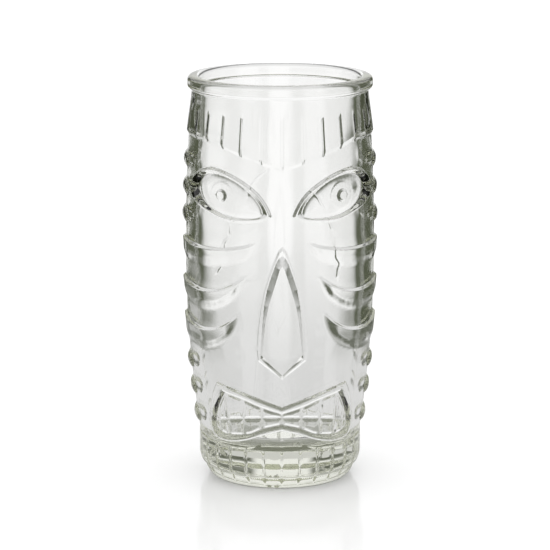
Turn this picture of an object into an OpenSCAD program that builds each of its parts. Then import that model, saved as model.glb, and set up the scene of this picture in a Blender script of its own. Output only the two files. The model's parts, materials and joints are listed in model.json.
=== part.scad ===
// Tall pressed-glass tiki tumbler, in millimetres. It is one moulding of clear glass, and each
// node here is one named region of it. The regions meet face to face and never overlap.
// The foot stands on Z = 0, the mask looks along -Y, and the back is plain above the base flutes.
// Places on the mask are given as [angle, height]: degrees round from the nose, and mm up.

/* [Glass body] */
// Height from the foot to the top of the rim
glass_h = 171; // [160:1:180]
// Outer radius at the belly, without the relief
belly_r = 39.8; // [39:0.1:42]
// Height of the belly above the foot
belly_z = 98; // [90:1:106]
// How much the outer radius draws in from the belly to the rim
neck_draw = 2.9; // [2:0.1:3.4]
// How much the outer radius draws in from the belly to the base
base_draw = 6.54; // [5:0.02:7.5]

/* [Cavity] */
// Radius of the cavity at the belly
cavity_r = 35.5; // [34:0.1:36]
// Radius of the straight mouth at the top of the cavity
mouth_r = 33.5; // [33:0.1:34]
// Height of the cavity floor, which is the thickness of the solid base
floor_z = 15; // [12:0.5:18]
// Radius of the round corner between the cavity floor and the wall
corner_r = 9; // [6:0.5:12]

/* [Rim and foot] */
// Outer radius of the round rim bead
rim_r = 38.8; // [38.2:0.1:40]
// Height of the rim bead
rim_h = 5.5; // [4.5:0.1:6.5]
// Outer radius of the ring that the glass stands on
foot_r = 27.5; // [25:0.5:29]
// Width of the ring that the glass stands on
foot_w = 3.5; // [2.5:0.5:5]
// Rise of the hollow under the foot
punt_h = 1.2; // [0.5:0.1:2]

/* [Relief] */
// Grooves round the forehead, and round the base
flute_count = 28; // [24:1:32]
// Width of each groove
groove_w = 1; // [0.8:0.1:1.6]
// Height of the cheek ribs, the eye rims and the lips above the wall
ridge_rise = 1.2; // [0.8:0.1:1.4]
// Height of the front of the nose above the wall
nose_rise = 2; // [1.6:0.1:2.4]
// Height of the side knobs above the wall
knob_rise = 1.5; // [1:0.1:1.8]
// Height of the teeth and the eyeballs above the wall
low_rise = 0.7; // [0.4:0.1:0.8]

/* [Hidden] */
$fn = 96;
glass_colour = [0.80, 0.84, 0.78];
reach = 60;                      // further out than any surface of the glass
rim_z = glass_h - rim_h;
mouth_depth = 10;                // length of the straight mouth below the top of the rim
cavity_draw = 5.4;               // how much the cavity draws in from the belly to its round corner
lip_round = 1.6;                 // radius of the rim's inner edge
rim_top_round = 2;               // radius of the rim's outer edge at the top
rim_low_round = 1.4;             // radius of the rim's outer edge at the bottom
foot_slope = 2;                  // width of the slope from the standing ring in to the punt
wall_steps = 14;
corner_steps = 5;

// The outside and the inside of the wall follow these two curves.
function outer_curve(z) =
    z > belly_z ? belly_r - neck_draw * pow((z - belly_z) / (rim_z - belly_z), 2)
                : belly_r - base_draw * pow((belly_z - z) / (belly_z - floor_z), 2);
function inner_curve(z) =
    z > belly_z
        ? cavity_r - (cavity_r - mouth_r) * pow((z - belly_z) / (glass_h - mouth_depth - belly_z), 2)
        : cavity_r - cavity_draw * pow((belly_z - z) / (belly_z - floor_z - corner_r), 2);

// Heights where the wall's outline bends, and the outline itself as [height, radius].
levels = [for (i = [0:wall_steps]) floor_z + (rim_z - floor_z) * i / wall_steps];
wall_line = [for (z = levels) [z, outer_curve(z)]];
function wall_r(z) = lookup(z, wall_line);
function levels_between(low, high) =
    concat([low], [for (z = levels) if (z > low + 0.01 && z < high - 0.01) z], [high]);
function wall_points(low, high, rise = 0) = [for (z = levels_between(low, high)) [wall_r(z) + rise, z]];
function backwards(list) = [for (i = [len(list) - 1:-1:0]) list[i]];

// A smooth curve through points, as a closed loop or as an open line.
function bend(a, b, c, d, t) = 0.5 * (2 * b + (c - a) * t + (2 * a - 5 * b + 4 * c - d) * t * t
    + (3 * b - a - 3 * c + d) * t * t * t);
function loop(p, steps = 3) = [for (i = [0:len(p) - 1], k = [0:steps - 1])
    bend(p[(i + len(p) - 1) % len(p)], p[i], p[(i + 1) % len(p)], p[(i + 2) % len(p)], k / steps)];
function line(p, steps = 3) = concat(
    [for (i = [0:len(p) - 2], k = [0:steps - 1])
        bend(p[max(i - 1, 0)], p[i], p[i + 1], p[min(i + 2, len(p) - 1)], k / steps)],
    [p[len(p) - 1]]);

// Outlines on the mask's +X half.
eye_outline = [[7, 119], [14.5, 127.4], [28.7, 133.7], [45, 136.2], [58.7, 133.6], [67.3, 129],
    [69.5, 125], [61, 120.5], [46, 117], [32, 114.8], [15.5, 115.5], [9, 117]];
eyeball_outline = [[12, 118.6], [16, 124.4], [28, 130.8], [42, 133.6], [52, 132.6], [57.5, 129],
    [56, 124], [49, 120.3], [38, 117.8], [26, 116.8], [16, 117]];
eye_mid = 38;                    // the angle that an eye faces
eye_zone = [112, 139];           // a zone is the lowest and the highest height of a region's skin
pupil = [38, 125.3];
pupil_r = 2.2;
pupil_rise = 0.8;                // rise of the pupil and the iris above the eyeball
iris_r = 5.6;
iris_rise = 0.3;
nose_outline = [[0, 105.2], [2.3, 103.4], [5, 98.8], [8, 93.2], [11.1, 86.2], [13.1, 79], [15, 70],
    [15.8, 62], [15.2, 57.2], [0, 49.2]];
nose_front = [[0, 99], [4.3, 93.4], [7, 87.3], [9, 81], [10.7, 73.4], [11.6, 67], [12, 59.6], [0, 52.3]];
nose_zone = [48, 106];

// Each cheek rib as rows of [angle, lower edge, upper edge], from its tip to the mould seam.
ribs = [
    [[15, 104.2, 107.2], [25, 100, 105], [39, 97, 103.4], [55, 96, 103], [72, 95.6, 103.2],
        [90, 95.5, 103.5]],
    [[20, 91.2, 94.4], [29, 83.8, 89.6], [42, 78.6, 86], [56, 77.2, 85], [74, 77.8, 85.8],
        [90, 79.8, 86.8]],
    [[24, 72.6, 78.8], [33, 66.5, 73], [44, 61.8, 69.5], [58, 59.8, 68.2], [75, 60.2, 69.2],
        [90, 59.8, 71.2]]
];
rib_mid = 55;
rib_zone = [56, 110];

// The lips' outer and inner edges on the +X half, above the mouth's corner and below it. They run
// a little past the nose's line, where the lips are cut.
upper_lip_out = [[-1.5, 36.8], [0, 36.8], [14, 40.2], [28.5, 43.2], [45.5, 45.7]];
lower_lip_out = [[50, 41], [54, 33.5], [57, 27], [54, 21.8], [44, 20.4], [34, 20.8], [24.5, 22.2],
    [12, 25], [0, 27], [-1.5, 27]];
upper_lip_in = [[-1.5, 34.6], [0, 34.6], [14, 37.4], [26, 40.2], [40.3, 42.1]];
lower_lip_in = [[47.6, 34.8], [52, 27.6], [49.2, 24], [40.5, 22.6], [28, 23.4], [21, 24.4], [12, 27],
    [0, 28.9], [-1.5, 28.9]];
mouth_mid = 30;
mouth_zone = [19, 48];
tooth_edges = [0, 13.2, 26.4, 38.7, 47];
tooth_gap = 0.55;                // half of the gap between two teeth, in degrees of angle and in mm
tooth_line_z = 32.3;             // height of the line between the rows of teeth, below the nose
tooth_line_drop = 3.6;           // how much lower that line is at the mouth's corner
function tooth_line(angle) = tooth_line_z - tooth_line_drop * pow(angle / tooth_edges[4], 2);
tooth_top = [[0, 34.6], [14, 37.4], [26, 40.2], [40.3, 42.1], [47, 35.4]];
tooth_foot = [[0, 28.9], [12, 27], [21, 24.4], [28, 23.4], [40.5, 22.7], [49, 24]];

knob_heights = [136.3, 124.8, 113.1, 50.5, 39.1, 27];
knob_h = 6.4;                    // height of a knob's outline
knob_straight = 12;              // length of a knob between its round ends

fringe_top_z = 161;
fringe_side_panels = 7;          // panels of the fringe on each side of the nose's line
fringe_brow_z = 136;             // lower edge of the forehead fringe above the nose
fringe_side_z = 146.8;           // lower edge of the forehead fringe at the temples
fringe_slope = 0.22;             // rise of that edge, in mm a degree
fringe_rise = 1.1;
fringe_top_rise = 0.15;
function fringe_low(angle) = min(fringe_side_z, fringe_brow_z + fringe_slope * abs(angle));

band_r = 34.3;                   // outer radius of the fluted base band
band_low_z = 6;
band_mid_z = 11;                 // the band is upright above this height, and draws in below it
band_low_r = 32.9;
heel_r = 32.7;                   // radius of the base where its round heel starts
heel_h = 10;
band_top = [[0, 22.4], [12.5, 20.6], [24, 18.4], [36, 17.8], [50, 18.2], [65, 18.8], [90, 20]];
function from_nose(angle) = abs(angle) > 90 ? 180 - abs(angle) : abs(angle);

mirror_x = [1, 0, 0];

// A thin skin on the wall, all the way round or over a part of the turn.
module skin(zone, rise, turn = 360) {
    rotate_extrude(angle = turn) polygon(concat(
        wall_points(zone[0], zone[1]), backwards(wall_points(zone[0], zone[1], rise))));
}

// A flat outline carried out from the axis, in the direction of the angle mid.
module facing(mid) {
    rotate([90, 0, mid]) linear_extrude(reach) children();
}

// The part of a skin that lies behind a flat outline, which faces out at the angle mid.
module patch(mid, zone, rise) {
    intersection() {
        skin(zone, rise);
        facing(mid) children();
    }
}

// Places on the mask, as points of the flat outline that faces out at the angle mid.
function flat(points, mid) = [for (p = points) [wall_r(p[1]) * sin(p[0] - mid), p[1]]];

// The base's round heel, as points and as [height, radius].
function heel_points() = [for (i = [0:corner_steps * 2])
    let (t = 90 * i / (corner_steps * 2))
    [foot_r + (heel_r - foot_r) * sin(t), heel_h * (1 - cos(t))]];
heel_line = [for (p = heel_points()) [p[1], p[0]]];

module base() {
    color(glass_colour) rotate_extrude() polygon(concat(
        [[0, punt_h], [foot_r - foot_w - foot_slope, punt_h], [foot_r - foot_w, 0]],
        heel_points(),
        [[wall_r(floor_z), floor_z], [0, floor_z]]));
}

module wall() {
    inner_low = floor_z + corner_r;
    straight_z = glass_h - mouth_depth;
    corner_x = inner_curve(inner_low) - corner_r;
    corner = [for (i = [0:corner_steps])
        let (t = 90 * i / corner_steps)
        [corner_x + corner_r * sin(t), inner_low - corner_r * cos(t)]];
    side = [for (i = [1:wall_steps])
        let (z = inner_low + (straight_z - inner_low) * i / wall_steps)
        [inner_curve(z), z]];
    color(glass_colour) rotate_extrude() polygon(concat(
        corner, side, [[mouth_r, rim_z]], backwards(wall_points(floor_z, rim_z))));
}

module rim() {
    low = [for (i = [0:corner_steps])
        let (t = 90 * i / corner_steps)
        [rim_r - rim_low_round * (1 - sin(t)), rim_z + rim_low_round * (1 - cos(t))]];
    top = [for (i = [0:corner_steps])
        let (t = 90 * i / corner_steps)
        [rim_r - rim_top_round * (1 - cos(t)), glass_h - rim_top_round * (1 - sin(t))]];
    lip = [for (i = [0:corner_steps])
        let (t = 90 * i / corner_steps)
        [mouth_r + lip_round - lip_round * sin(t), glass_h - lip_round + lip_round * cos(t)]];
    color(glass_colour) rotate_extrude() polygon(concat(
        [[mouth_r, rim_z]], low, top, lip));
}

// One raised panel between two grooves, which starts at the angle from.
module fringe_panel(from, width) {
    low = fringe_low(from_nose(from + width / 2));
    heights = levels_between(low, fringe_top_z);
    outside = [for (z = heights)
        [wall_r(z) + fringe_rise + (fringe_top_rise - fringe_rise) * (z - low) / (fringe_top_z - low), z]];
    rotate([0, 0, from - 90]) rotate_extrude(angle = width)
        polygon(concat(wall_points(low, fringe_top_z), backwards(outside)));
}

module band_panel(from, width) {
    top = lookup(from_nose(from + width / 2), band_top);
    heel_side = [for (p = heel_points()) if (p[1] > band_low_z) p];
    rotate([0, 0, from - 90]) rotate_extrude(angle = width) polygon(concat(
        [[lookup(band_low_z, heel_line), band_low_z]], heel_side, wall_points(floor_z, top),
        [[band_r, top], [band_r, band_mid_z], [band_low_r, band_low_z]]));
}

// Panels all the way round, with a groove on the nose's middle line.
panel_pitch = 360 / flute_count;
function groove_angle(r) = groove_w / r * 180 / PI;
function half_turn(angle) = angle > 180 ? angle - 360 : angle;

module forehead_fringe() {
    gap = groove_angle(belly_r);
    color(glass_colour) for (i = [-fringe_side_panels:fringe_side_panels - 1])
        fringe_panel(i * panel_pitch + gap / 2, panel_pitch - gap);
}

module base_flutes() {
    gap = groove_angle(band_r);
    color(glass_colour) for (i = [0:flute_count - 1])
        band_panel(half_turn(i * panel_pitch + gap / 2), panel_pitch - gap);
}

module eye_rim() {
    color(glass_colour) patch(eye_mid, eye_zone, ridge_rise) difference() {
        polygon(flat(loop(eye_outline), eye_mid));
        polygon(flat(loop(eyeball_outline), eye_mid));
    }
}

// The eyeball is a low patch with a flat iris and a small round pupil standing on it.
module eyeball() {
    color(glass_colour) {
        patch(eye_mid, eye_zone, low_rise) polygon(flat(loop(eyeball_outline), eye_mid));
        patch(pupil[0], eye_zone, low_rise + iris_rise) translate([0, pupil[1]]) circle(iris_r);
        patch(pupil[0], eye_zone, low_rise + pupil_rise) translate([0, pupil[1]]) circle(pupil_r);
    }
}

module nose() {
    color(glass_colour) {
        patch(0, nose_zone, nose_rise / 2) both_halves(nose_outline);
        patch(0, nose_zone, nose_rise) both_halves(nose_front);
    }
}
module both_halves(half) {
    mirrored = [for (p = backwards(half)) if (p[0] > 0) [-p[0], p[1]]];
    polygon(flat(concat(half, mirrored), 0));
}

module cheek_rib(index) {
    rib = ribs[index];
    upper = line([for (row = rib) [row[0], row[2]]]);
    lower = line([for (row = backwards(rib)) [row[0], row[1]]]);
    color(glass_colour) patch(rib_mid, rib_zone, ridge_rise)
        polygon(flat(concat(upper, lower), rib_mid));
}

// One half of the lips, cut at the plane through the nose.
module lip_half() {
    outer = concat(line(upper_lip_out), line(lower_lip_out));
    inner = concat(line(upper_lip_in), line(lower_lip_in));
    color(glass_colour) intersection() {
        rotate([0, 0, -90]) skin(mouth_zone, ridge_rise, 90);
        facing(mouth_mid) polygon(flat(concat(outer, backwards(inner)), mouth_mid));
    }
}

// One tooth between two angles, from its foot's heights to its top's heights.
module tooth(from, to, feet, tops) {
    mid = (from + to) / 2;
    patch(mid, mouth_zone, low_rise)
        polygon(flat([[from, feet[0]], [to, feet[1]], [to, tops[1]], [from, tops[0]]], mid));
}

module upper_teeth_half() {
    for (i = [0:len(tooth_edges) - 2]) {
        from = tooth_edges[i] + tooth_gap;
        to = tooth_edges[i + 1] - tooth_gap;
        tooth(from, to,
            [tooth_line(from) + tooth_gap, tooth_line(to) + tooth_gap],
            [lookup(from, tooth_top) - tooth_gap, lookup(to, tooth_top) - tooth_gap]);
    }
}

module lower_teeth_half() {
    for (i = [0:len(tooth_edges) - 2]) {
        from = tooth_edges[i] + tooth_gap;
        to = tooth_edges[i + 1] - tooth_gap;
        tooth(from, to,
            [lookup(from, tooth_foot) + tooth_gap, lookup(to, tooth_foot) + tooth_gap],
            [tooth_line(from) - tooth_gap, tooth_line(to) - tooth_gap]);
    }
}

module upper_teeth() {
    color(glass_colour) {
        upper_teeth_half();
        mirror(mirror_x) upper_teeth_half();
    }
}

module lower_teeth() {
    color(glass_colour) {
        lower_teeth_half();
        mirror(mirror_x) lower_teeth_half();
    }
}

// A knob is a round-topped bar that bends round the wall. Its outline has round ends.
module knob(height) {
    round_top = [for (t = [0:22.5:180])
        let (z = height - knob_h / 2 * cos(t))
        [wall_r(z) + knob_rise * sin(t), z]];
    intersection() {
        rotate_extrude() polygon(concat(
            backwards(wall_points(height - knob_h / 2, height + knob_h / 2)), round_top));
        rotate([90, 0, 90]) linear_extrude(reach) translate([0, height]) {
            square([knob_straight, knob_h], center = true);
            for (side = [-1, 1])
                translate([side * knob_straight / 2, 0]) circle(d = knob_h);
        }
    }
}

module knob_column() {
    color(glass_colour) for (height = knob_heights) knob(height);
}

base();
wall();
rim();
forehead_fringe();
base_flutes();

// The mask. Right is the +X side and left the -X side.
knob_column();  // right_side_knobs
mirror(mirror_x) knob_column();  // left_side_knobs
nose();
eye_rim();  // right_eye_rim
mirror(mirror_x) eye_rim();  // left_eye_rim
eyeball();  // right_eyeball
mirror(mirror_x) eyeball();  // left_eyeball
cheek_rib(0);  // right_cheek_rib_1
cheek_rib(1);  // right_cheek_rib_2
cheek_rib(2);  // right_cheek_rib_3
mirror(mirror_x) cheek_rib(0);  // left_cheek_rib_1
mirror(mirror_x) cheek_rib(1);  // left_cheek_rib_2
mirror(mirror_x) cheek_rib(2);  // left_cheek_rib_3
lip_half();  // right_lips
mirror(mirror_x) lip_half();  // left_lips
upper_teeth();
lower_teeth();
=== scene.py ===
"""A tall tiki tumbler of clear moulded glass, on a pale floor in soft studio light.

The real glass is one moulding, so one closed mesh stands for all the CAD regions. It is a profile
turned round the Z axis, pushed out by a relief: fringe, eyes, nose, cheek ribs, mouth, base flutes
and side knobs. The mesh is fine where the relief bends and coarse where the glass is plain.
Lengths are in millimetres until the mesh is made. Places on the mask are (angle, height), with the
angle in degrees from the nose. The back of the glass is plain above its base flutes.
"""
import json
import math

import bpy
import numpy as np
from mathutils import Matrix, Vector


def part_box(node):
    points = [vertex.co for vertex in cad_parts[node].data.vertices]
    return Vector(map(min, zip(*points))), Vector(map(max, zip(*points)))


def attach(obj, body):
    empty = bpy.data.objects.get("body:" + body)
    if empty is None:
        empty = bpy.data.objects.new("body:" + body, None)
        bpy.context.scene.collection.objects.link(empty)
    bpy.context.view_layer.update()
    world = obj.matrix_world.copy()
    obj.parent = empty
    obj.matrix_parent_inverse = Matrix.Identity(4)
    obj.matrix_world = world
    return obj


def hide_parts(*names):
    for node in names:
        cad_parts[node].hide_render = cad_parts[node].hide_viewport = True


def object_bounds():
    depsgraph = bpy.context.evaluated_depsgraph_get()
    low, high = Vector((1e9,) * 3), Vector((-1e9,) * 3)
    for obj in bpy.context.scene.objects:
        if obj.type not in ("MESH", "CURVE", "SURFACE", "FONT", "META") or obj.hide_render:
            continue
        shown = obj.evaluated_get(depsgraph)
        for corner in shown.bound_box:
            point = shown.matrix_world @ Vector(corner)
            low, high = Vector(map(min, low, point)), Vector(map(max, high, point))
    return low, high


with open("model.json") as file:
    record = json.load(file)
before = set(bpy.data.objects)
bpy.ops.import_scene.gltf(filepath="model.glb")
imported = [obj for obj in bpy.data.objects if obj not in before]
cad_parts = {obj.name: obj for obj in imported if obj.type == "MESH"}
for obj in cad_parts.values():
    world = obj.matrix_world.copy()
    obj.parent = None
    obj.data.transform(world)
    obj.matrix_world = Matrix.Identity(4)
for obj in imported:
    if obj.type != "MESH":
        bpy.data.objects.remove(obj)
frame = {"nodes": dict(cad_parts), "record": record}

MM = 0.001
cad_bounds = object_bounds()


# ---------------------------------------------------------------- sizes, from the frame

def span(node):
    """Lowest and highest angle and height of a CAD region, as (angle, angle, height, height)."""
    points = np.array([v.co for v in frame["nodes"][node].data.vertices]) / MM
    angle = np.degrees(np.arctan2(points[:, 0], -points[:, 1]))
    return angle.min(), angle.max(), points[:, 2].min(), points[:, 2].max()


def outer_radius(node):
    """How far out a CAD region reaches, in millimetres."""
    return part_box(node)[1].x / MM


def mount(name):
    """The record's mount of that name."""
    return next(m for m in frame["record"]["mounts"] if m["name"] == name)


FLOOR_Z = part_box("wall")[0].z / MM          # the cavity's floor, where the wall starts
RIM_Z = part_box("rim")[0].z / MM
TOP_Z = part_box("rim")[1].z / MM
BELLY_R = outer_radius("wall")
BELLY_Z = FLOOR_Z + 0.5515 * (RIM_Z - FLOOR_Z)     # it is widest a little above its middle
RIM_R = outer_radius("rim")
RIM_TOP_ROUND = 2.0              # how the rim bead rounds off above and below
RIM_LOW_ROUND = 1.4
NECK_R = RIM_R - 1.9             # the wall under the rim bead
BASE_TOP_R = 33.26               # the outside where the wall meets the base
HEEL_H = 10.0                    # height of the round heel under the wall
FOOT_R = 27.5                    # the standing ring's outside and inside
FOOT_IN_R = 24.0
PUNT_H = 1.2                     # how hollow the underside is
MOUTH_R = mount("mouth")["dims"]["r_mm"]
MOUTH_LOW_Z = TOP_Z - 10.0       # the mouth is straight down to here
CAVITY_R = 35.5                  # the cavity at the belly, and at the top of its bottom corner
CORNER_TOP_R = 30.1
CORNER_R = 9.0
LIP_ROUND = 1.6


def outer_curve(z):
    """The outside's radius: a barrel, with one curve above the belly and one below."""
    above = BELLY_R - (BELLY_R - NECK_R) * ((z - BELLY_Z) / (RIM_Z - BELLY_Z)) ** 2
    below = BELLY_R - (BELLY_R - BASE_TOP_R) * ((BELLY_Z - z) / (BELLY_Z - FLOOR_Z)) ** 2
    return np.where(z > BELLY_Z, above, below)


def inner_curve(z):
    """The cavity's radius, down to the round corner at its bottom."""
    above = CAVITY_R - (CAVITY_R - MOUTH_R) * ((z - BELLY_Z) / (MOUTH_LOW_Z - BELLY_Z)) ** 2
    low_z = FLOOR_Z + CORNER_R
    below = CAVITY_R - (CAVITY_R - CORNER_TOP_R) * ((BELLY_Z - z) / (BELLY_Z - low_z)) ** 2
    return np.where(z > BELLY_Z, above, below)


# ---------------------------------------------------------------- curves and distances

def smooth(x):
    """Rises from 0 to 1 as x does, with no corner at either end."""
    x = np.clip(x, 0, 1)
    return x * x * (3 - 2 * x)


def spline(points, steps, closed):
    """A smooth curve through the points, with so many steps from each to the next."""
    p = np.array(points, float)
    n = len(p)
    made = []
    for i in range(n if closed else n - 1):
        at = [k % n if closed else min(max(k, 0), n - 1) for k in (i - 1, i, i + 1, i + 2)]
        a, b, c, d = p[at]
        for t in np.arange(steps) / steps:
            made.append(0.5 * (2 * b + (c - a) * t + (2 * a - 5 * b + 4 * c - d) * t ** 2
                               + (3 * b - a - 3 * c + d) * t ** 3))
    if not closed:
        made.append(p[-1])
    return np.array(made)


def unrolled(angle, z):
    """Millimetres round the wall and up it."""
    return np.stack([np.radians(angle) * outer_curve(z), z], -1)


def inside_distance(outline, where):
    """How far inside a closed outline each point lies, negative outside it."""
    best = np.full(len(where), 1e9)
    inside = np.zeros(len(where), bool)
    for (ax, ay), (bx, by) in zip(outline, np.roll(outline, -1, 0)):
        ex, ey = bx - ax, by - ay
        px, py = where[:, 0] - ax, where[:, 1] - ay
        t = np.clip((px * ex + py * ey) / (ex * ex + ey * ey), 0, 1)
        best = np.minimum(best, np.hypot(px - t * ex, py - t * ey))
        crosses = (ay > where[:, 1]) != (by > where[:, 1])
        if ay != by:
            inside ^= crosses & (px < ex * (where[:, 1] - ay) / ey)
    return np.where(inside, best, -best)


def placed(node, outline, corners=False):
    """An outline drawn in the unit square, laid over a CAD region of the front mask."""
    a0, a1, z0, z1 = span(node)
    a0 = max(a0, 0.0)
    points = outline if corners else spline(outline, 4, True)
    return np.array([(a0 + u * (a1 - a0), z0 + v * (z1 - z0)) for u, v in points])


def on_wall(outline):
    """An (angle, height) outline in millimetres."""
    return unrolled(outline[:, 0], outline[:, 1])


# ---------------------------------------------------------------- the relief

RIDGE = 1.2                      # rise of ribs, eye rims and lips
PITCH = 360 / 28                 # between two grooves of the fringe or of the base band

EYE = placed("right_eye_rim", [
    (0.00, 0.20), (0.12, 0.58), (0.35, 0.87), (0.61, 1.00), (0.83, 0.90), (0.97, 0.68),
    (1.00, 0.47), (0.87, 0.26), (0.62, 0.10), (0.40, 0.00), (0.14, 0.03), (0.03, 0.10)])
EYEBALL = placed("right_eyeball", [
    (0.00, 0.14), (0.09, 0.46), (0.35, 0.84), (0.66, 1.00), (0.88, 0.93), (1.00, 0.72),
    (0.97, 0.44), (0.82, 0.21), (0.58, 0.06), (0.31, 0.00), (0.09, 0.02)])
PUPIL = (38.0, 125.3)
PUPIL_R = 2.2
IRIS_R = 5.6
EYE_CREST = 0.9                  # from the rim's outer edge to its crest
EYE_SINK = 0.35                  # how far the ball's edge lies below the wall
EYE_DOME = 1.1                   # how far its middle rises from there
IRIS_RISE = 0.13
PUPIL_RISE = 0.75


def local(angle, z, low, high, bottom, top):
    """Which points lie in a patch of the mask."""
    return (angle > low) & (angle < high) & (z > bottom) & (z < top)


def groove_distance(angle):
    """Millimetres from the nearest groove line, at the belly's radius."""
    off = np.abs((angle + PITCH / 2) % PITCH - PITCH / 2)
    return np.radians(off) * BELLY_R


FRINGE_RISE = 0.95               # at its lower edge, and it thins upward
FRINGE_SLOPE = 0.22              # how fast its lower edge climbs from the V, in mm per degree
FRINGE_SIDE_H = 10.0             # how far above the CAD fringe's lowest point it stays level
FRINGE_GROOVE = 0.42             # half width of a groove


def fringe(angle, z):
    """Hair that ends in a V over the nose, cut by grooves that are deeper at the sides and ends."""
    _, _, brow_z, top_z = span("forehead_fringe")
    low = np.minimum(brow_z + FRINGE_SIDE_H, brow_z - 0.7 + FRINGE_SLOPE * angle)
    share = np.clip((z - low) / (top_z - low), 0, 1)
    body = FRINGE_RISE * (1 - 0.9 * share) * smooth((z - low) / 2.2 + 0.5) * smooth((93 - angle) / 4)
    reach = smooth((top_z - 1.5 - z) / 3) * smooth((z - low) / 1.2 + 1.0)
    groove = np.exp(-(groove_distance(angle) / FRINGE_GROOVE) ** 2) * reach
    deep = (0.2 + 0.14 * smooth((angle - 8) / 26)) * (1 + 0.5 * smooth((low + 3 - z) / 3))
    return body - deep * groove


def eye(angle, z):
    """A rim that falls away inward to a sunk edge, and a domed ball with an iris and a pupil."""
    where = unrolled(angle, z)
    into_eye = inside_distance(on_wall(EYE), where)
    into_ball = inside_distance(on_wall(EYEBALL), where)
    outside = RIDGE * smooth((into_eye + 0.2) / (EYE_CREST + 0.2))
    across = np.clip(into_eye - EYE_CREST, 0, None)
    share = across / (across + np.clip(-into_ball, 1e-6, None))
    between = RIDGE - (EYE_SINK + RIDGE) * smooth(share)
    ball = -EYE_SINK + EYE_DOME * (1 - np.exp(-np.clip(into_ball, 0, None) / 1.8))
    centre = unrolled(np.array(PUPIL[0]), np.array(PUPIL[1]))
    radius = np.hypot(where[:, 0] - centre[0], where[:, 1] - centre[1])
    ball += IRIS_RISE * smooth((IRIS_R - radius) / 0.9 + 0.5)
    ball += PUPIL_RISE * smooth((PUPIL_R - radius) / 1.1 + 0.5)
    return np.where(into_eye < EYE_CREST, outside, np.where(into_ball < 0, between, ball))


# The nose's outer edge, the foot of its steep side and the edge of its front, in its own box.
NOSE = placed("nose", [
    (0.00, 1.000), (0.15, 0.968), (0.32, 0.886), (0.51, 0.786), (0.70, 0.661), (0.83, 0.532),
    (0.95, 0.371), (1.00, 0.229), (0.96, 0.143), (0.00, 0.000)], corners=True)
NOSE_SIDE = placed("nose", [
    (0.00, 0.934), (0.13, 0.918), (0.23, 0.879), (0.40, 0.786), (0.56, 0.686), (0.67, 0.564),
    (0.74, 0.421), (0.79, 0.300), (0.86, 0.162), (0.00, 0.010)], corners=True)
NOSE_FRONT = placed("nose", [
    (0.00, 0.871), (0.09, 0.846), (0.16, 0.793), (0.34, 0.671), (0.49, 0.568), (0.62, 0.439),
    (0.69, 0.318), (0.75, 0.190), (0.00, 0.045)], corners=True)


def mirrored(half):
    """A whole outline round the nose's line, from its half at positive angles."""
    other = [(-a, z) for a, z in half[::-1] if a > 0]
    return np.array([*map(tuple, half), *other])


NOSE_FOOT = 0.45                 # the small step round the nose
NOSE_RISE = 1.1                  # its steep side, and how much higher that is at the top and the tip
NOSE_TOP_RISE = 1.0
NOSE_TIP_RISE = 0.8
NOSE_FRONT_RISE = 0.3            # how far its front swells past its edge


def nose(angle, z):
    """A foot, steep sides, and a front that swells. It stands furthest out at its top and its tip."""
    where = unrolled(angle, z)
    into_nose = inside_distance(on_wall(mirrored(NOSE)), where)
    into_side = inside_distance(on_wall(mirrored(NOSE_SIDE)), where)
    into_front = inside_distance(on_wall(mirrored(NOSE_FRONT)), where)
    foot = NOSE_FOOT * smooth((into_nose + 0.3) / 1.3)
    across = np.clip(into_side, 0, None)
    share = across / (across + np.clip(-into_front, 1e-6, None))
    at_top = smooth((z - 55) / 40)
    at_tip = smooth((58 + 0.3 * np.abs(where[:, 0]) - z) / 6)
    rise = NOSE_RISE + NOSE_TOP_RISE * at_top + NOSE_TIP_RISE * at_tip
    side = rise * share
    front = NOSE_FRONT_RISE * np.sin(np.pi / 2 * np.clip(into_front / 6, 0, 1))
    return foot + np.where(into_front > 0, rise + front, side)


# Each cheek rib as (share of its length from the tip, lower edge, upper edge) in its own box.
RIBS = {
    "right_cheek_rib_1": [(0.00, 0.74, 1.00), (0.13, 0.38, 0.81), (0.32, 0.13, 0.67),
                          (0.53, 0.04, 0.63), (0.76, 0.01, 0.65), (1.00, 0.00, 0.68)],
    "right_cheek_rib_2": [(0.00, 0.82, 1.00), (0.13, 0.39, 0.72), (0.31, 0.08, 0.51),
                          (0.51, 0.00, 0.45), (0.77, 0.03, 0.50), (1.00, 0.15, 0.56)],
    "right_cheek_rib_3": [(0.00, 0.68, 1.00), (0.14, 0.35, 0.70), (0.30, 0.11, 0.51),
                          (0.52, 0.00, 0.44), (0.77, 0.03, 0.49), (1.00, 0.00, 0.60)],
}


def rib_edges(node, rows):
    """The angles along a rib, and the heights of its two edges there."""
    a0, a1, z0, z1 = span(node)
    rows = spline(rows, 6, False)
    return a0 + rows[:, 0] * (a1 - a0), z0 + rows[:, 1] * (z1 - z0), z0 + rows[:, 2] * (z1 - z0)


def cheek_rib(angle, z, along, lower, upper):
    """A rib with a long slope below its crest and a short one above, square to its own run."""
    slope = np.gradient(upper, np.radians(along) * BELLY_R)
    squeeze = np.cos(np.arctan(np.interp(angle, along, slope)))
    above = (z - np.interp(angle, along, lower)) * squeeze
    below = (np.interp(angle, along, upper) - z) * squeeze
    share = np.clip(above / np.maximum(above + below, 0.1), 0, 1)
    body = (0.75 + 0.25 * share) * smooth((above + 1.8) / 5.0) * smooth((below + 0.2) / 1.2)
    return RIDGE * body * smooth((angle - along[0]) / 12) * smooth((98 - angle) / 6)


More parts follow.
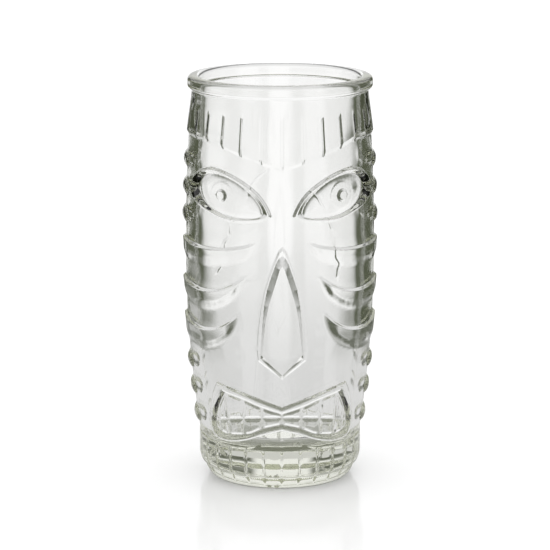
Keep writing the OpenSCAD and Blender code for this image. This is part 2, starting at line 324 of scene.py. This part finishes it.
# The lips' outer and inner edges, as (angle, height): above, from the middle to the corner, and
# below, from the corner to the middle.
MOUTH_UPPER_OUT = [(0, 36.8), (14, 40.2), (28.5, 43.2), (45.5, 45.7)]
MOUTH_LOWER_OUT = [(50, 41), (54, 33.5), (57, 27), (54, 21.8), (44, 20.4), (34, 20.8), (24.5, 22.2),
                   (12, 25), (0, 27)]
MOUTH_UPPER_IN = [(0, 34.6), (14, 37.4), (26, 40.2), (40.3, 42.1)]
MOUTH_LOWER_IN = [(47.6, 34.8), (52, 27.6), (49.2, 24), (40.5, 22.6), (28, 23.4), (21, 24.4), (12, 27),
                  (0, 28.9)]
TOOTH_EDGES = (0, 13.2, 26.4, 38.7, 47)
TOOTH_ROW_Z = 32.3               # the line between the two rows
TOOTH_ROW_SINK = 0.0016          # how far it sinks to the sides, in mm per square degree
TOOTH_RISE = 0.5
MOUTH_SINK = 0.25


def lip_outline(upper, lower):
    """One edge of the lips as a whole outline, from its halves above and below the corner."""
    half = np.concatenate([spline(upper, 4, False), spline(lower, 4, False)])
    return on_wall(mirrored(half))


def mouth(angle, z):
    """One round lip all the way about, and two rows of teeth on a sunk ground."""
    where = unrolled(angle, z)
    into_lips = inside_distance(lip_outline(MOUTH_UPPER_OUT, MOUTH_LOWER_OUT), where)
    into_mouth = inside_distance(lip_outline(MOUTH_UPPER_IN, MOUTH_LOWER_IN), where)
    from_out = np.clip(into_lips + 0.2, 0, None)
    from_in = np.clip(0.2 - into_mouth, 0, None)
    share = from_out / np.maximum(from_out + from_in, 1e-6)
    lips = RIDGE * np.sqrt(np.clip(1 - (2 * share - 1) ** 2, 0, 1))
    lips = np.where((from_out > 0) & (from_in > 0), lips, 0)
    row_line = TOOTH_ROW_Z - TOOTH_ROW_SINK * angle ** 2
    gap = np.abs(z - row_line)
    for edge in TOOTH_EDGES:
        gap = np.minimum(gap, np.abs(np.radians(angle - edge)) * outer_curve(z))
    tooth = TOOTH_RISE * smooth((gap - 0.1) / 1.5) * smooth((into_mouth - 0.4) / 1.5)
    hollow = -MOUTH_SINK * smooth(into_mouth / 0.8)
    return lips + np.where(into_mouth > 0, tooth + hollow, 0)


# The knobs' middles. There is one column at each side of the glass.
KNOB_Z = (136.3, 124.8, 113.1, 50.5, 39.1, 27.0)
KNOB_H = 6.4
KNOB_HALF = 6.0                  # half the length of a knob's straight part
KNOB_RISE = 1.5


def knobs(angle, z):
    """Short round-ended bars that lie across the mould seam."""
    total = np.zeros_like(z)
    for height in KNOB_Z:
        along = np.clip(np.radians(np.abs(90 - angle)) * outer_curve(z) - KNOB_HALF, 0, None)
        off = np.hypot(along, z - height) / (KNOB_H / 2)
        total += KNOB_RISE * np.clip(1 - off ** 2, 0, 1) ** 0.7
    return total


# The band's upper edge, as (angle, height), from the nose to the side. The back mirrors it.
BAND_TOP = [(0, 22.4), (12.5, 20.6), (24, 18.4), (36, 17.8), (50, 18.2), (65, 18.8), (90, 20)]
BAND_R = outer_radius("base_flutes")
BAND_LOW_Z = 6.0
BAND_DROP_Z = 11.0               # below this it draws in, by BAND_DROP at its lower edge
BAND_DROP = 1.4
BAND_GROOVE = 0.6                # half width of a groove between two flutes
BAND_GROOVE_DEEP = 0.25          # how far it cuts into the wall behind the band


def base_band(angle, z):
    """The fluted band round the base, drawn in over the heel, with grooves that run on below it."""
    edge = spline(BAND_TOP, 6, False)
    top = np.interp(np.minimum(angle, 180 - angle), edge[:, 0], edge[:, 1])
    draw = np.clip((BAND_DROP_Z - z) / (BAND_DROP_Z - BAND_LOW_Z), 0, None)
    target = BAND_R - BAND_DROP * draw ** 2
    body = np.clip(target - side_radius(z), 0, 2)
    body = body * smooth((top - z) / 0.9 + 0.5) * smooth((z - BAND_LOW_Z) / 1.2 + 0.5)
    groove = np.exp(-(groove_distance(angle) / BAND_GROOVE) ** 2)
    reach = smooth((top - z) / 1.0 + 0.5)
    deep = BAND_GROOVE_DEEP * smooth((z - 1.5) / 3) * reach
    return body * (1 - 0.4 * groove * reach) - deep * groove


def heel_radius(z):
    """The round heel, from the standing ring up to the wall."""
    low = outer_curve(np.array(HEEL_H))
    return FOOT_R + (low - FOOT_R) * np.sqrt(np.clip(1 - (1 - z / HEEL_H) ** 2, 0, 1))


def side_radius(z):
    """The plain outside, heel and wall."""
    return np.where(z > HEEL_H, outer_curve(z), heel_radius(np.clip(z, 0, HEEL_H)))


RIB_EDGES = [rib_edges(node, rows) for node, rows in RIBS.items()]

# Each feature with the patch it needs: lowest and highest angle, lowest and highest height.
FEATURES = [
    (fringe, (-1, 96, 132, 163)),
    (eye, (4, 73, 112, 139)),
    (nose, (-1, 20, 46, 108)),
    (mouth, (-1, 64, 17, 49)),
    (knobs, (70, 110, 20, 142)),
    (base_band, (-1, 181, 0.5, 24)),
]


SEAM_RISE = 0.06                 # the line that the mould's halves leave at each side
SEAM_HALF = 0.25


def relief(angle, z):
    """How far the outside stands off its plain profile."""
    total = np.zeros_like(z)
    for feature, patch in FEATURES:
        here = local(angle, z, *patch)
        if here.any():
            total[here] += feature(angle[here], z[here])
    for along, lower, upper in RIB_EDGES:
        here = local(angle, z, along[0], 100, lower.min() - 3, upper.max() + 2)
        if here.any():
            total[here] += cheek_rib(angle[here], z[here], along, lower, upper)
    seam = np.exp(-(np.radians(90 - angle) * BELLY_R / SEAM_HALF) ** 2)
    return total + SEAM_RISE * seam * smooth((z - 8) / 4) * smooth((160 - z) / 4)


ECHO = 0.2                       # how much of the relief shows on the inside
ECHO_SOFT = 2.4                  # how far it is softened
ECHO_STEP = 0.6                  # the grid it is kept on, up the wall and round the belly


def echo_grid():
    """The relief as the inside of the blown wall shows it, softened over a few millimetres."""
    heights = np.arange(0, TOP_Z, ECHO_STEP)
    turns = np.linspace(-180, 180, int(2 * math.pi * BELLY_R / ECHO_STEP) + 1)[:-1]
    angle, z = np.meshgrid(np.abs(turns), heights)
    grid = relief(angle.ravel(), z.ravel()).reshape(angle.shape)
    reach = round(2.25 * ECHO_SOFT / ECHO_STEP)
    weight = np.exp(-(np.arange(-reach, reach + 1) * ECHO_STEP / ECHO_SOFT) ** 2)
    weight /= weight.sum()
    wide = np.concatenate([grid[:, -reach:], grid, grid[:, :reach]], 1)
    grid = np.array([np.convolve(row, weight, "valid") for row in wide])
    tall = np.concatenate([np.repeat(grid[:1], reach, 0), grid, np.repeat(grid[-1:], reach, 0)])
    return np.array([np.convolve(column, weight, "valid") for column in tall.T]).T


ECHO_GRID = echo_grid()


def echo(turn, z):
    """The echo between its grid's points."""
    rows, columns = ECHO_GRID.shape
    u = ((turn + 180) % 360) / 360 * columns
    v = np.clip(z / ECHO_STEP, 0, rows - 1.001)
    i, j = u.astype(int) % columns, v.astype(int)
    k, fu, fv = (i + 1) % columns, u - np.floor(u), v - np.floor(v)
    low = ECHO_GRID[j, i] * (1 - fu) + ECHO_GRID[j, k] * fu
    high = ECHO_GRID[j + 1, i] * (1 - fu) + ECHO_GRID[j + 1, k] * fu
    return low * (1 - fv) + high * fv


def ripple(turn, z, size, waves):
    """The slow waves that hot glass keeps, from a few crossing sines."""
    total = np.zeros_like(z)
    for count, pitch, start in waves:
        total += np.sin(np.radians(turn) * count + z / pitch + start)
    return size * total / len(waves)


# Each wave as (how many round the glass, height per radian, where it starts).
OUTER_WAVES = ((7, 11.0, 0.3), (-11, 17.0, 1.9), (4, -9.0, 4.0))
INNER_WAVES = ((5, 13.0, 1.1), (-8, 21.0, 2.6), (9, -15.0, 5.2))
OUTER_WAVE = 0.04                # how high they are
INNER_WAVE = 0.12

# Thin folds that the blown glass keeps on its inside, as (turn, height) points.
FOLDS = (((-8.0, 139.0), (-17.0, 132.5), (-23.0, 126.0), (-35.5, 113.0), (-38.5, 106.0), (-40.0, 99.0),
          (-47.0, 91.0)),
         ((13.5, 133.0), (17.5, 130.0), (32.0, 114.5), (36.0, 106.5), (38.5, 99.0), (38.5, 89.5)))
FOLD_DEPTH = 0.15
FOLD_HALF = 0.6
FOLD_SWAYS = ((1.3, 2.1, 0.0), (0.5, 0.9, 1.0))    # degrees to a side, height per radian, start


def folds(turn, z):
    """The folds run down the wall in short steps to either side."""
    total = np.zeros_like(z)
    for line in FOLDS:
        line = np.array(line)[::-1]
        middle = np.interp(z, line[:, 1], line[:, 0])
        for sway, pitch, start in FOLD_SWAYS:
            middle = middle + sway * np.sin(z / pitch + start)
        off = np.radians(turn - middle) * CAVITY_R
        ends = smooth((z - line[0, 1]) / 2) * smooth((line[-1, 1] - z) / 2)
        broken = smooth(2.2 * np.sin(z / 3.7 + line[0, 0]) + 2.0)
        total += ends * broken * np.exp(-(off / FOLD_HALF) ** 2)
    return FOLD_DEPTH * total


# ---------------------------------------------------------------- the profile

def turn_points(centre, radius, start, end, count):
    """Points on an arc, between two angles in degrees."""
    angle = np.radians(np.linspace(start, end, count))
    return np.stack([centre[0] + radius * np.cos(angle), centre[1] + radius * np.sin(angle)], -1)


PATH_STEP = 0.25                 # between two points of the profile
BLUR_REACH = 8                   # how many points to either side soften one, and how fast they fade
BLUR = 2.4


def profile():
    """(radius, height) points from under the foot, up, over the rim and down inside.

    They are evenly spaced and a little softened, so no corner is sharper than moulded glass has.
    """
    r = np.linspace(0.6, FOOT_IN_R, 40)
    under = np.stack([r, PUNT_H * (1 + np.cos(np.pi * r / FOOT_IN_R)) / 2], -1)
    z = HEEL_H * (1 - np.cos(np.radians(np.linspace(0, 90, 24))))
    heel = np.stack([heel_radius(z), z], -1)
    z = np.linspace(HEEL_H + 0.3, RIM_Z - 0.2, 200)
    side = np.stack([outer_curve(z), z], -1)
    low = turn_points((RIM_R - RIM_LOW_ROUND, RIM_Z + RIM_LOW_ROUND), RIM_LOW_ROUND, -90, 0, 16)
    top = turn_points((RIM_R - RIM_TOP_ROUND, TOP_Z - RIM_TOP_ROUND), RIM_TOP_ROUND, 0, 90, 20)
    lip = turn_points((MOUTH_R + LIP_ROUND, TOP_Z - LIP_ROUND), LIP_ROUND, 90, 180, 14)
    z = np.linspace(MOUTH_LOW_Z, FLOOR_Z + CORNER_R, 200)
    inside = np.stack([inner_curve(z), z], -1)
    corner_x = CORNER_TOP_R - CORNER_R
    corner = turn_points((corner_x, FLOOR_Z + CORNER_R), CORNER_R, -2, -90, 24)
    r = np.linspace(corner_x - 0.5, 0.6, 40)
    floor = np.stack([r, np.full_like(r, FLOOR_Z)], -1)
    path = np.concatenate([under, heel, side, low, top, lip, inside, corner, floor])
    length = np.concatenate([[0], np.cumsum(np.hypot(*np.diff(path, axis=0).T))])
    even = np.linspace(0, length[-1], int(length[-1] / PATH_STEP))
    path = np.stack([np.interp(even, length, path[:, 0]), np.interp(even, length, path[:, 1])], -1)
    reach = BLUR_REACH
    weight = np.exp(-(np.arange(-reach, reach + 1) / BLUR) ** 2)
    weight /= weight.sum()
    padded = np.concatenate([np.repeat(path[:1], reach, 0), path, np.repeat(path[-1:], reach, 0)])
    soft = np.stack([np.convolve(padded[:, k], weight, "valid") for k in (0, 1)], -1)
    soft[:reach], soft[-reach:] = path[:reach], path[-reach:]
    return even, soft


PATH_AT, PATH = profile()
PATH_LENGTH = PATH_AT[-1]
SLOPE = np.gradient(PATH, PATH_AT, axis=0)
OUTWARD = np.stack([SLOPE[:, 1], -SLOPE[:, 0]], -1)
OUTWARD /= np.linalg.norm(OUTWARD, axis=1)[:, None]
TOP_AT = PATH_AT[np.argmax(PATH[:, 1])]


def surface(turn, at):
    """Points of the glass, at an angle round it and a distance along its profile.

    The inner waves die out at the mouth and at the floor, and everything does at the middle line.
    """
    r = np.interp(at, PATH_AT, PATH[:, 0])
    z = np.interp(at, PATH_AT, PATH[:, 1])
    nr = np.interp(at, PATH_AT, OUTWARD[:, 0])
    nz = np.interp(at, PATH_AT, OUTWARD[:, 1])
    angle = np.abs((turn + 180) % 360 - 180)
    outside = at < TOP_AT
    push = np.zeros_like(r)
    turn_out, z_out = turn[outside], z[outside]
    if outside.any():
        push[outside] = relief(angle[outside], z_out)
        push[outside] += ripple(turn_out, z_out, OUTER_WAVE, OUTER_WAVES) * smooth(z_out / 8)
    inside = ~outside
    turn_in, z_in = turn[inside], z[inside]
    calm = smooth((160 - z_in) / 10) * smooth((z_in - FLOOR_Z - 1) / 8)
    push[inside] += (ripple(turn_in, z_in, INNER_WAVE, INNER_WAVES) - ECHO * echo(turn_in, z_in)) * calm
    push[inside] += folds((turn_in + 180) % 360 - 180, z_in)
    push *= smooth(r / 12)
    r = r + nr * push
    z = z + nz * push
    a = np.radians(turn)
    return np.stack([r * np.sin(a), -r * np.cos(a), z], -1)


# ---------------------------------------------------------------- the adaptive mesh

COLUMNS = 56                     # coarse cells round the glass, two for each flute
ROWS = 90                        # coarse cells along the profile
LEVELS = 4                       # how often a coarse cell may be halved
FINE = 2 ** LEVELS


def lattice(i, j):
    """Angle and distance along the profile of a lattice point."""
    return np.asarray(i) * 360 / (COLUMNS * FINE), np.asarray(j) * PATH_LENGTH / (ROWS * FINE)


def bends_in(i, j, size, tolerance):
    """Which cells the glass bends in by more than a tolerance."""
    steps = np.linspace(0, 1, 5)
    u, v = [x.ravel() for x in np.meshgrid(steps, steps)]
    turn, at = lattice(i[:, None] + u * size, j[:, None] + v * size)
    p = surface(turn.ravel(), at.ravel()).reshape(len(i), 25, 3)
    c00, c10, c01, c11 = p[:, 0:1], p[:, 4:5], p[:, 20:21], p[:, 24:25]
    u, v = u[None, :, None], v[None, :, None]
    flat = c00 * (1 - u) * (1 - v) + c10 * u * (1 - v) + c01 * (1 - u) * v + c11 * u * v
    return np.linalg.norm(p - flat, axis=2).max(1) > tolerance


def leaf_cells(tolerance):
    """Cells as (column, row, size) in lattice steps, split wherever the glass bends."""
    i, j = [x.ravel() * FINE for x in np.meshgrid(np.arange(COLUMNS), np.arange(ROWS))]
    size = FINE
    leaves = []
    while size > 1:
        split = bends_in(i, j, size, tolerance)
        leaves += [(a, b, size) for a, b in zip(i[~split], j[~split])]
        i, j = i[split], j[split]
        size //= 2
        i = np.concatenate([i, i + size, i, i + size])
        j = np.concatenate([j, j, j + size, j + size])
    return leaves + [(a, b, size) for a, b in zip(i, j)]


def conforming_mesh(leaves):
    """Lattice points and faces, with no cracks where small cells meet a large one.

    It also returns the two rings of points that are left open, round the middle line.
    """
    across, up = COLUMNS * FINE, ROWS * FINE
    number = np.full((up + 1, across), -1)
    for i, j, s in leaves:
        for a, b in ((i, j), (i + s, j), (i, j + s), (i + s, j + s)):
            number[b, a % across] = 0
    used = np.argwhere(number == 0)
    number[used[:, 0], used[:, 1]] = np.arange(len(used))
    points = [(i, j) for j, i in used]
    faces = []
    for i, j, s in leaves:
        columns = np.arange(i, i + s + 1) % across
        bottom = number[j, columns]
        top = number[j + s, columns][::-1]
        right = number[j:j + s + 1, (i + s) % across]
        left = number[j:j + s + 1, i % across][::-1]
        ring = [n for side in (bottom, right, top, left) for n in side[:-1] if n >= 0]
        if len(ring) == 4:
            faces.append(ring)
            continue
        middle = len(points)
        points.append((i + s / 2, j + s / 2))
        faces += [(a, b, middle) for a, b in zip(ring, ring[1:] + ring[:1])]
    ends = [number[0][number[0] >= 0][::-1], number[up][number[up] >= 0]]
    return np.array(points), faces, ends


NORMAL_STEP = 0.02               # how far apart the surface is felt for its normal


def glass_mesh(tolerance):
    """The closed mesh, with each normal from the surface itself and not from the faces near it."""
    points, faces, ends = conforming_mesh(leaf_cells(tolerance))
    turn, at = lattice(points[:, 0], points[:, 1])
    places = surface(turn, at)
    radius = np.maximum(np.hypot(places[:, 0], places[:, 1]), 0.5)
    swing = np.degrees(NORMAL_STEP / radius)
    back = np.clip(at - NORMAL_STEP, 0, PATH_LENGTH)
    forth = np.clip(at + NORMAL_STEP, 0, PATH_LENGTH)
    normals = np.cross(surface(turn + swing, at) - surface(turn - swing, at),
                       surface(turn, forth) - surface(turn, back))
    normals /= np.maximum(np.linalg.norm(normals, axis=1), 1e-12)[:, None]
    for ring, z in zip(ends, (PATH[0, 1], PATH[-1, 1])):
        pole = len(places)
        up = -1.0 if ring is ends[0] else 1.0
        places = np.vstack([places, (0, 0, z)])
        normals = np.vstack([normals, (0, 0, up)])
        faces += [(a, b, pole) for a, b in zip(ring, np.roll(ring, -1))]
    mesh = bpy.data.meshes.new("tiki_glass")
    mesh.from_pydata((places * MM).tolist(), [], [tuple(int(n) for n in f) for f in faces])
    mesh.update()
    mesh.polygons.foreach_set("use_smooth", [True] * len(mesh.polygons))
    mesh.normals_split_custom_set_from_vertices(normals.tolist())
    return mesh


# ---------------------------------------------------------------- material

GLASS_IOR = 1.52
TINT = (0.69, 0.705, 0.57, 1)    # olive, and so faint that only the thick base and the edges show it
TINT_DENSITY = 10.0


def glass_material():
    """Clear glass, perfectly smooth, with a tint that deepens with its thickness."""
    material = bpy.data.materials.new("clear_glass")
    material.use_nodes = True
    nodes, links = material.node_tree.nodes, material.node_tree.links
    shader = nodes["Principled BSDF"]
    shader.inputs["Base Color"].default_value = (1, 1, 1, 1)
    shader.inputs["Roughness"].default_value = 0.0
    shader.inputs["IOR"].default_value = GLASS_IOR
    shader.inputs["Transmission Weight"].default_value = 1.0
    tint = nodes.new("ShaderNodeVolumeAbsorption")
    tint.inputs["Color"].default_value = TINT
    tint.inputs["Density"].default_value = TINT_DENSITY
    links.new(tint.outputs["Volume"], nodes["Material Output"].inputs["Volume"])
    return material


# ---------------------------------------------------------------- stage, light and camera

# Distances on the floor are in metres from the glass's middle line.
FLOOR_SIDE = 3.0
FLOOR_COLOUR = (0.9, 0.9, 0.9, 1)
FLOOR_ROUGHNESS = 0.16           # it mirrors the foot a little
FLOOR_IOR = 1.4
PAINTED_FLOOR_LIGHT = (0.72, 0.72, 0.72, 1)      # the floor as the glass shows it, a glow of painted light, and its painted shadow under the foot
# A dark olive painted shadow that the glass shows on the floor right under its foot.
PAINTED_SHADOW_AT_FOOT = (0.15, 0.16, 0.11, 1)
FOOT_SHADOW = (0.026, 0.048)     # where the floor's shade under the foot starts to fade, and ends
LIT_FLOOR = (0.29, 0.18)         # past the first it is lit by a panel only, within the second always
FAR_FLOOR = (0.1, 0.6)           # where the panels start to show in place of the floor, and wholly do

# Where the white panels of the studio stand: azimuth, and lowest and highest elevation. They are
# seen in the glass only, and each gives the glass dark edges in the view that faces it. The ones
# that reach down to -90 light the floor in front of them too.
PANELS = ((0, -90, 90), (180, -90, 90), (225, -90, 90), (45, -90, -17), (90, -9, 90))
PANEL_HALF = 15.0                # half a panel's width and the blur of its edges, in degrees
PANEL_SOFT = 3.0
OVERHEAD = (4, 18)               # elevations over which the overhead light fades in
DARK = (0.09, 0.10, 0.066, 1)    # what the glass shows between the panels; on the floor it is painted shade
WHITE = (1, 1, 1, 1)
ROOM = (1.25, 1.25, 1.25, 1)     # the even light that the camera and the floor see


class Wiring:
    """Short ways to add shader nodes to one node tree."""

    def __init__(self, tree):
        self.tree = tree

    def fill(self, socket, value):
        """Links another node's socket, or sets a value."""
        if isinstance(value, bpy.types.NodeSocket):
            self.tree.links.new(value, socket)
        else:
            socket.default_value = value

    def maths(self, operation, a, b=0.0):
        """A sum or the like of two numbers."""
        node = self.tree.nodes.new("ShaderNodeMath")
        node.operation = operation
        self.fill(node.inputs[0], a)
        self.fill(node.inputs[1], b)
        return node.outputs["Value"]

    def vector(self, operation, a, b=(0, 0, 0)):
        """The same for vectors. It returns the node, as its result may be a number or a vector."""
        node = self.tree.nodes.new("ShaderNodeVectorMath")
        node.operation = operation
        self.fill(node.inputs[0], a)
        self.fill(node.inputs[1], b)
        return node

    def fade(self, value, start, end, low=0.0, high=1.0):
        """The low value at the start and the high value at the end, whichever end is larger."""
        node = self.tree.nodes.new("ShaderNodeMapRange")
        node.interpolation_type = "SMOOTHSTEP"
        if start > end:
            start, end, low, high = end, start, high, low
        for name, given in (("Value", value), ("From Min", start), ("From Max", end),
                            ("To Min", low), ("To Max", high)):
            self.fill(node.inputs[name], given)
        return node.outputs["Result"]

    def mixed(self, share, a, b):
        """The first colour where the share is 0, and the second where it is 1."""
        node = self.tree.nodes.new("ShaderNodeMix")
        node.data_type = "RGBA"
        sockets = {socket.identifier: socket for socket in node.inputs}
        self.fill(sockets["Factor_Float"], share)
        self.fill(sockets["A_Color"], a)
        self.fill(sockets["B_Color"], b)
        return next(socket for socket in node.outputs if socket.identifier == "Result_Color")

    def layered(self, share, a, b):
        """The same for shaders."""
        node = self.tree.nodes.new("ShaderNodeMixShader")
        for socket, value in zip(node.inputs, (share, a, b)):
            self.fill(socket, value)
        return node.outputs["Shader"]

    def facing(self, place, azimuth):
        """1 where a place lies in front of a panel at an azimuth, seen from the middle line."""
        level = self.vector("NORMALIZE", self.vector("MULTIPLY", place, (1, 1, 0)).outputs["Vector"])
        a = math.radians(azimuth)
        dot = self.vector("DOT_PRODUCT", level.outputs["Vector"], (-math.sin(a), math.cos(a), 0))
        return self.fade(dot.outputs["Value"], math.cos(math.radians(PANEL_HALF + PANEL_SOFT)),
                         math.cos(math.radians(PANEL_HALF - PANEL_SOFT)))


def floor():
    """A pale floor. The glass shows it as a glow of painted light and shade that gives way to the
    panels further out.
    """
    mesh = bpy.data.meshes.new("floor")
    side = FLOOR_SIDE
    mesh.from_pydata([(-side, -side, 0), (side, -side, 0), (side, side, 0), (-side, side, 0)],
                     [], [(0, 1, 2, 3)])
    piece = bpy.data.objects.new("floor", mesh)
    bpy.context.scene.collection.objects.link(piece)
    material = bpy.data.materials.new("pale_floor")
    material.use_nodes = True
    nodes, links = material.node_tree.nodes, material.node_tree.links
    shader = nodes["Principled BSDF"]
    shader.inputs["Base Color"].default_value = FLOOR_COLOUR
    shader.inputs["Roughness"].default_value = FLOOR_ROUGHNESS
    shader.inputs["IOR"].default_value = FLOOR_IOR
    wiring = Wiring(material.node_tree)
    place = nodes.new("ShaderNodeTexCoord").outputs["Object"]
    distance = wiring.vector("LENGTH", place).outputs["Value"]
    in_glass = nodes.new("ShaderNodeLightPath").outputs["Is Singular Ray"]
    around = wiring.fade(distance, *LIT_FLOOR)
    for azimuth, low, _ in PANELS:
        if low == -90:
            around = wiring.maths("MAXIMUM", around, wiring.facing(place, azimuth))
    # Through the glass the floor shows painted light in front of the panels and painted shade, the dark
    # tone, elsewhere.
    seen = wiring.mixed(around, DARK, PAINTED_FLOOR_LIGHT)
    # A painted shadow darkens it right under the foot.
    seen = wiring.mixed(wiring.fade(distance, *FOOT_SHADOW), PAINTED_SHADOW_AT_FOOT, seen)
    # It glows with this painted light and shade in place of being lit.
    glow = nodes.new("ShaderNodeEmission")
    links.new(seen, glow.inputs["Color"])
    clear = wiring.fade(distance, *FAR_FLOOR)
    through = wiring.layered(clear, glow.outputs["Emission"],
                             nodes.new("ShaderNodeBsdfTransparent").outputs["BSDF"])
    links.new(wiring.layered(in_glass, shader.outputs["BSDF"], through),
              nodes["Material Output"].inputs["Surface"])
    mesh.materials.append(material)


def sine(degrees):
    return math.sin(math.radians(degrees))


def studio_world():
    """White to the camera and the floor, and white panels on dark for rays through the glass."""
    world = bpy.data.worlds.new("studio")
    bpy.context.scene.world = world
    world.use_nodes = True
    nodes, links = world.node_tree.nodes, world.node_tree.links
    background = nodes["Background"]
    wiring = Wiring(world.node_tree)
    place = nodes.new("ShaderNodeTexCoord").outputs["Generated"]
    split = nodes.new("ShaderNodeSeparateXYZ")
    links.new(place, split.inputs[0])
    height = split.outputs["Z"]
    light = wiring.fade(height, *[sine(a) for a in OVERHEAD])
    for azimuth, low, high in PANELS:
        panel = wiring.facing(place, azimuth)
        if low > -90:
            above = wiring.fade(height, sine(low - PANEL_SOFT), sine(low + PANEL_SOFT))
            panel = wiring.maths("MULTIPLY", panel, above)
        if high < 90:
            below = wiring.fade(height, sine(high + PANEL_SOFT), sine(high - PANEL_SOFT))
            panel = wiring.maths("MULTIPLY", panel, below)
        light = wiring.maths("MAXIMUM", light, panel)
    ray = nodes.new("ShaderNodeLightPath")
    in_glass = wiring.maths("MAXIMUM", ray.outputs["Is Transmission Ray"],
                            ray.outputs["Is Singular Ray"])
    links.new(wiring.mixed(in_glass, ROOM, wiring.mixed(light, DARK, WHITE)),
              background.inputs["Color"])


LENS = 178.0
SENSOR = 36.0
CAMERA_AZIMUTH = -1.2
CAMERA_ELEVATION = 11.8
CAMERA_BACK = 1.15               # metres from what it aims at
CAMERA_SHIFT = -0.0021           # how far to the side of the middle line it aims


def camera():
    """A long lens in front of the glass and a little above it."""
    data = bpy.data.cameras.new("camera")
    data.lens = LENS
    data.sensor_width = SENSOR
    piece = bpy.data.objects.new("camera", data)
    bpy.context.scene.collection.objects.link(piece)
    turn, tilt = math.radians(CAMERA_AZIMUTH), math.radians(CAMERA_ELEVATION)
    low, high = cad_bounds
    aim = Vector((CAMERA_SHIFT, 0, (low.z + high.z) / 2))
    back = Vector((math.sin(turn) * math.cos(tilt), -math.cos(turn) * math.cos(tilt), math.sin(tilt)))
    piece.location = aim + back * CAMERA_BACK
    piece.rotation_mode = "QUATERNION"
    piece.rotation_quaternion = (-back).to_track_quat("-Z", "Y")
    bpy.context.scene.camera = piece


# ---------------------------------------------------------------- the build

TOLERANCE = 0.03     # how far a cell may lie off the glass
BOUNCES = 24                     # light crosses thick glass many times before it leaves

glass = bpy.data.objects.new("tiki_glass", glass_mesh(TOLERANCE))
bpy.context.scene.collection.objects.link(glass)
glass.data.materials.append(glass_material())
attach(glass, "root")
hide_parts(*frame["nodes"])

floor()
studio_world()
camera()
scene = bpy.context.scene
scene.cycles.max_bounces = BOUNCES
scene.cycles.transmission_bounces = BOUNCES
scene.cycles.glossy_bounces = BOUNCES
scene.view_settings.view_transform = "Standard"

print("triangles", sum(len(p.vertices) - 2 for p in glass.data.polygons))
